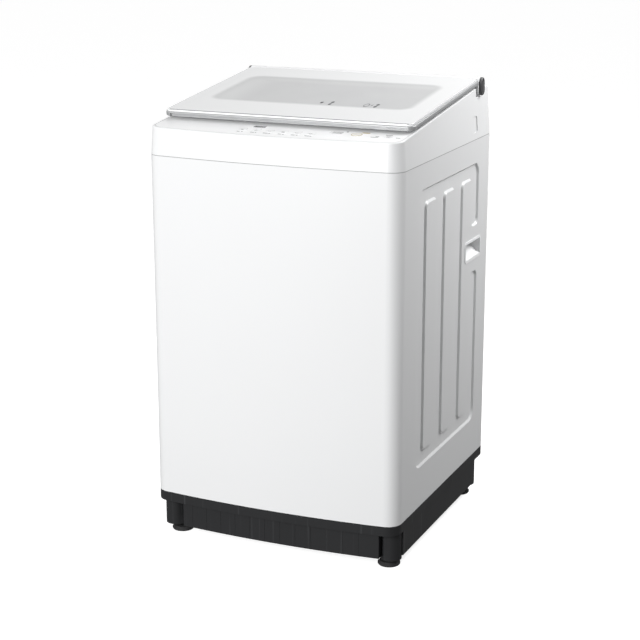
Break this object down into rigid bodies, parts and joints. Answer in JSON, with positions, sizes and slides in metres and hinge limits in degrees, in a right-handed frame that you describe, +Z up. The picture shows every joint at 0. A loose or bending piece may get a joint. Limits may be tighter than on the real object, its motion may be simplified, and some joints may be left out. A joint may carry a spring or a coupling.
{
  "type": "top load washing machine",
  "caption": "White top load washing machine with a hinged glass lid, front control panel, pressed steel sides, black base, sprung tub, spinning basket and pulsator.",
  "frame": {"origin": "on the floor, in the middle of the machine's width and depth", "axes": "+Z up, -Y towards the front with the control panel, +X to the right seen from the front"},
  "size_m": [0.5424, 0.5582, 0.9346],
  "materials": {
    "white_sheet": "gloss",
    "white_shell": "gloss",
    "panel_film": "gloss",
    "grip_white": "satin",
    "charcoal": "satin",
    "black_rubber": "matte",
    "silver_trim": "satin",
    "lid_white": "gloss",
    "lid_pane": "clear",
    "hinge_dark": "satin",
    "smoked_lens": "gloss",
    "key_white": "gloss",
    "key_gold": "gloss",
    "stainless": "brushed",
    "zinc_steel": "satin",
    "cast_alloy": "satin",
    "motor_iron": "matte",
    "tub_white": "satin",
    "ring_grey": "satin",
    "pulsator_grey": "satin",
    "board_green": "matte",
    "belt_rubber": "matte",
    "drawer_blue": "gloss"
  },
  "bodies": {
    "cabinet": {"cabinet_wrap": "white_sheet", "rear_cover": "zinc_steel", "rear_screws": "zinc_steel", "cord_gland": "black_rubber", "grip_right": "grip_white", "grip_left": "grip_white", "base": "charcoal", "foot_lock_nuts": "zinc_steel", "rear_feet": "black_rubber", "top_cover": "white_shell", "rear_strip": "white_shell", "side_plugs": "white_shell", "control_fascia": "panel_film", "display_lens": "smoked_lens", "control_board": "board_green", "hinge_pins": "zinc_steel", "lid_bumpers": "black_rubber", "lid_switch": "hinge_dark", "dispenser_housing": "tub_white", "inlet_valve": "ring_grey", "corner_brackets": "zinc_steel", "suspension_rods": "zinc_steel", "drain_valve": "tub_white"},
    "tub": {"outer_tub": "tub_white", "tub_ring": "tub_white", "damper_cups": "tub_white", "support_plate": "zinc_steel", "gear_case": "cast_alloy", "motor": "motor_iron", "drive_belt": "belt_rubber", "shaft_bearings": "zinc_steel", "shaft_seal": "black_rubber", "drain_bellows": "black_rubber", "suspension_springs": "zinc_steel"},
    "basket": {"basket_wall": "stainless", "basket_floor": "ring_grey", "balance_ring": "ring_grey", "drive_flange": "cast_alloy", "lint_filters": "drawer_blue", "spin_shaft": "zinc_steel"},
    "pulsator": {"pulsator": "pulsator_grey", "pulsator_cap": "stainless", "wash_shaft": "zinc_steel"},
    "gear_pulley": {"gear_pulley": "cast_alloy"},
    "motor_pulley": {"motor_pulley": "cast_alloy"},
    "lid": {"lid_trim": "silver_trim", "lid_frame": "lid_white", "lid_glass": "lid_pane", "hinge_caps": "hinge_dark"},
    "detergent_drawer": {"detergent_drawer": "drawer_blue"},
    "foot_front_left": {"foot_front_left": "black_rubber"},
    "foot_front_right": {"foot_front_right": "black_rubber"},
    "start_key": {"start_key": "key_gold"},
    "power_key": {"power_key": "key_white"},
    "option_key_1": {"option_key_1": "key_white"},
    "option_key_2": {"option_key_2": "key_white"},
    "option_key_3": {"option_key_3": "key_white"},
    "option_key_4": {"option_key_4": "key_white"},
    "option_key_5": {"option_key_5": "key_white"},
    "option_key_6": {"option_key_6": "key_white"}
  },
  "joints": [
    {"name": "lid_hinge", "type": "hinge", "parent": "cabinet", "child": "lid", "pos_m": [0, 0.2121, 0.91562], "axis": [-1, 0, 0], "range_deg": [0, 102]},
    {"name": "tub_bounce", "type": "slide", "parent": "cabinet", "child": "tub", "axis": [0, 0, 1], "range_m": [-0.015, 0.008], "stiffness_N_per_m": 9000, "springref_m": 0.02726, "deforming": ["suspension_springs", "drain_bellows"]},
    {"name": "basket_spin", "type": "hinge", "parent": "tub", "child": "basket", "pos_m": [0, 0.005, 0.3], "axis": [0, 0, 1], "continuous": true},
    {"name": "pulsator_spin", "type": "hinge", "parent": "tub", "child": "pulsator", "pos_m": [0, 0.005, 0.3], "axis": [0, 0, 1], "continuous": true},
    {"name": "gear_pulley_spin", "type": "hinge", "parent": "tub", "child": "gear_pulley", "pos_m": [0, 0.005, 0.149], "axis": [0, 0, 1], "continuous": true},
    {"name": "motor_spin", "type": "hinge", "parent": "tub", "child": "motor_pulley", "pos_m": [0.146, -0.066, 0.149], "axis": [0, 0, 1], "continuous": true},
    {"name": "drawer_slide", "type": "slide", "parent": "cabinet", "child": "detergent_drawer", "axis": [0, -1, 0], "range_m": [0, 0.07]},
    {"name": "foot_left_screw", "type": "slide", "parent": "cabinet", "child": "foot_front_left", "axis": [0, 0, -1], "range_m": [-0.002, 0.012]},
    {"name": "foot_right_screw", "type": "slide", "parent": "cabinet", "child": "foot_front_right", "axis": [0, 0, -1], "range_m": [-0.002, 0.012]},
    {"name": "option_key_1_press", "type": "slide", "parent": "cabinet", "child": "option_key_1", "axis": [0, 0.108, -0.9942], "range_m": [0, 0.0012], "stiffness_N_per_m": 400},
    {"name": "option_key_2_press", "type": "slide", "parent": "cabinet", "child": "option_key_2", "axis": [0, 0.108, -0.9942], "range_m": [0, 0.0012], "stiffness_N_per_m": 400},
    {"name": "option_key_3_press", "type": "slide", "parent": "cabinet", "child": "option_key_3", "axis": [0, 0.108, -0.9942], "range_m": [0, 0.0012], "stiffness_N_per_m": 400},
    {"name": "option_key_4_press", "type": "slide", "parent": "cabinet", "child": "option_key_4", "axis": [0, 0.108, -0.9942], "range_m": [0, 0.0012], "stiffness_N_per_m": 400},
    {"name": "option_key_5_press", "type": "slide", "parent": "cabinet", "child": "option_key_5", "axis": [0, 0.108, -0.9942], "range_m": [0, 0.0012], "stiffness_N_per_m": 400},
    {"name": "option_key_6_press", "type": "slide", "parent": "cabinet", "child": "option_key_6", "axis": [0, 0.108, -0.9942], "range_m": [0, 0.0012], "stiffness_N_per_m": 400},
    {"name": "start_key_press", "type": "slide", "parent": "cabinet", "child": "start_key", "axis": [0, 0.108, -0.9942], "range_m": [0, 0.0012], "stiffness_N_per_m": 400},
    {"name": "power_key_press", "type": "slide", "parent": "cabinet", "child": "power_key", "axis": [0, 0.108, -0.9942], "range_m": [0, 0.0012], "stiffness_N_per_m": 400}
  ],
  "couplings": [
    {"joint": "gear_pulley_spin", "follows": "pulsator_spin", "ratio": 5},
    {"joint": "motor_spin", "follows": "pulsator_spin", "ratio": 16.956}
  ]
}
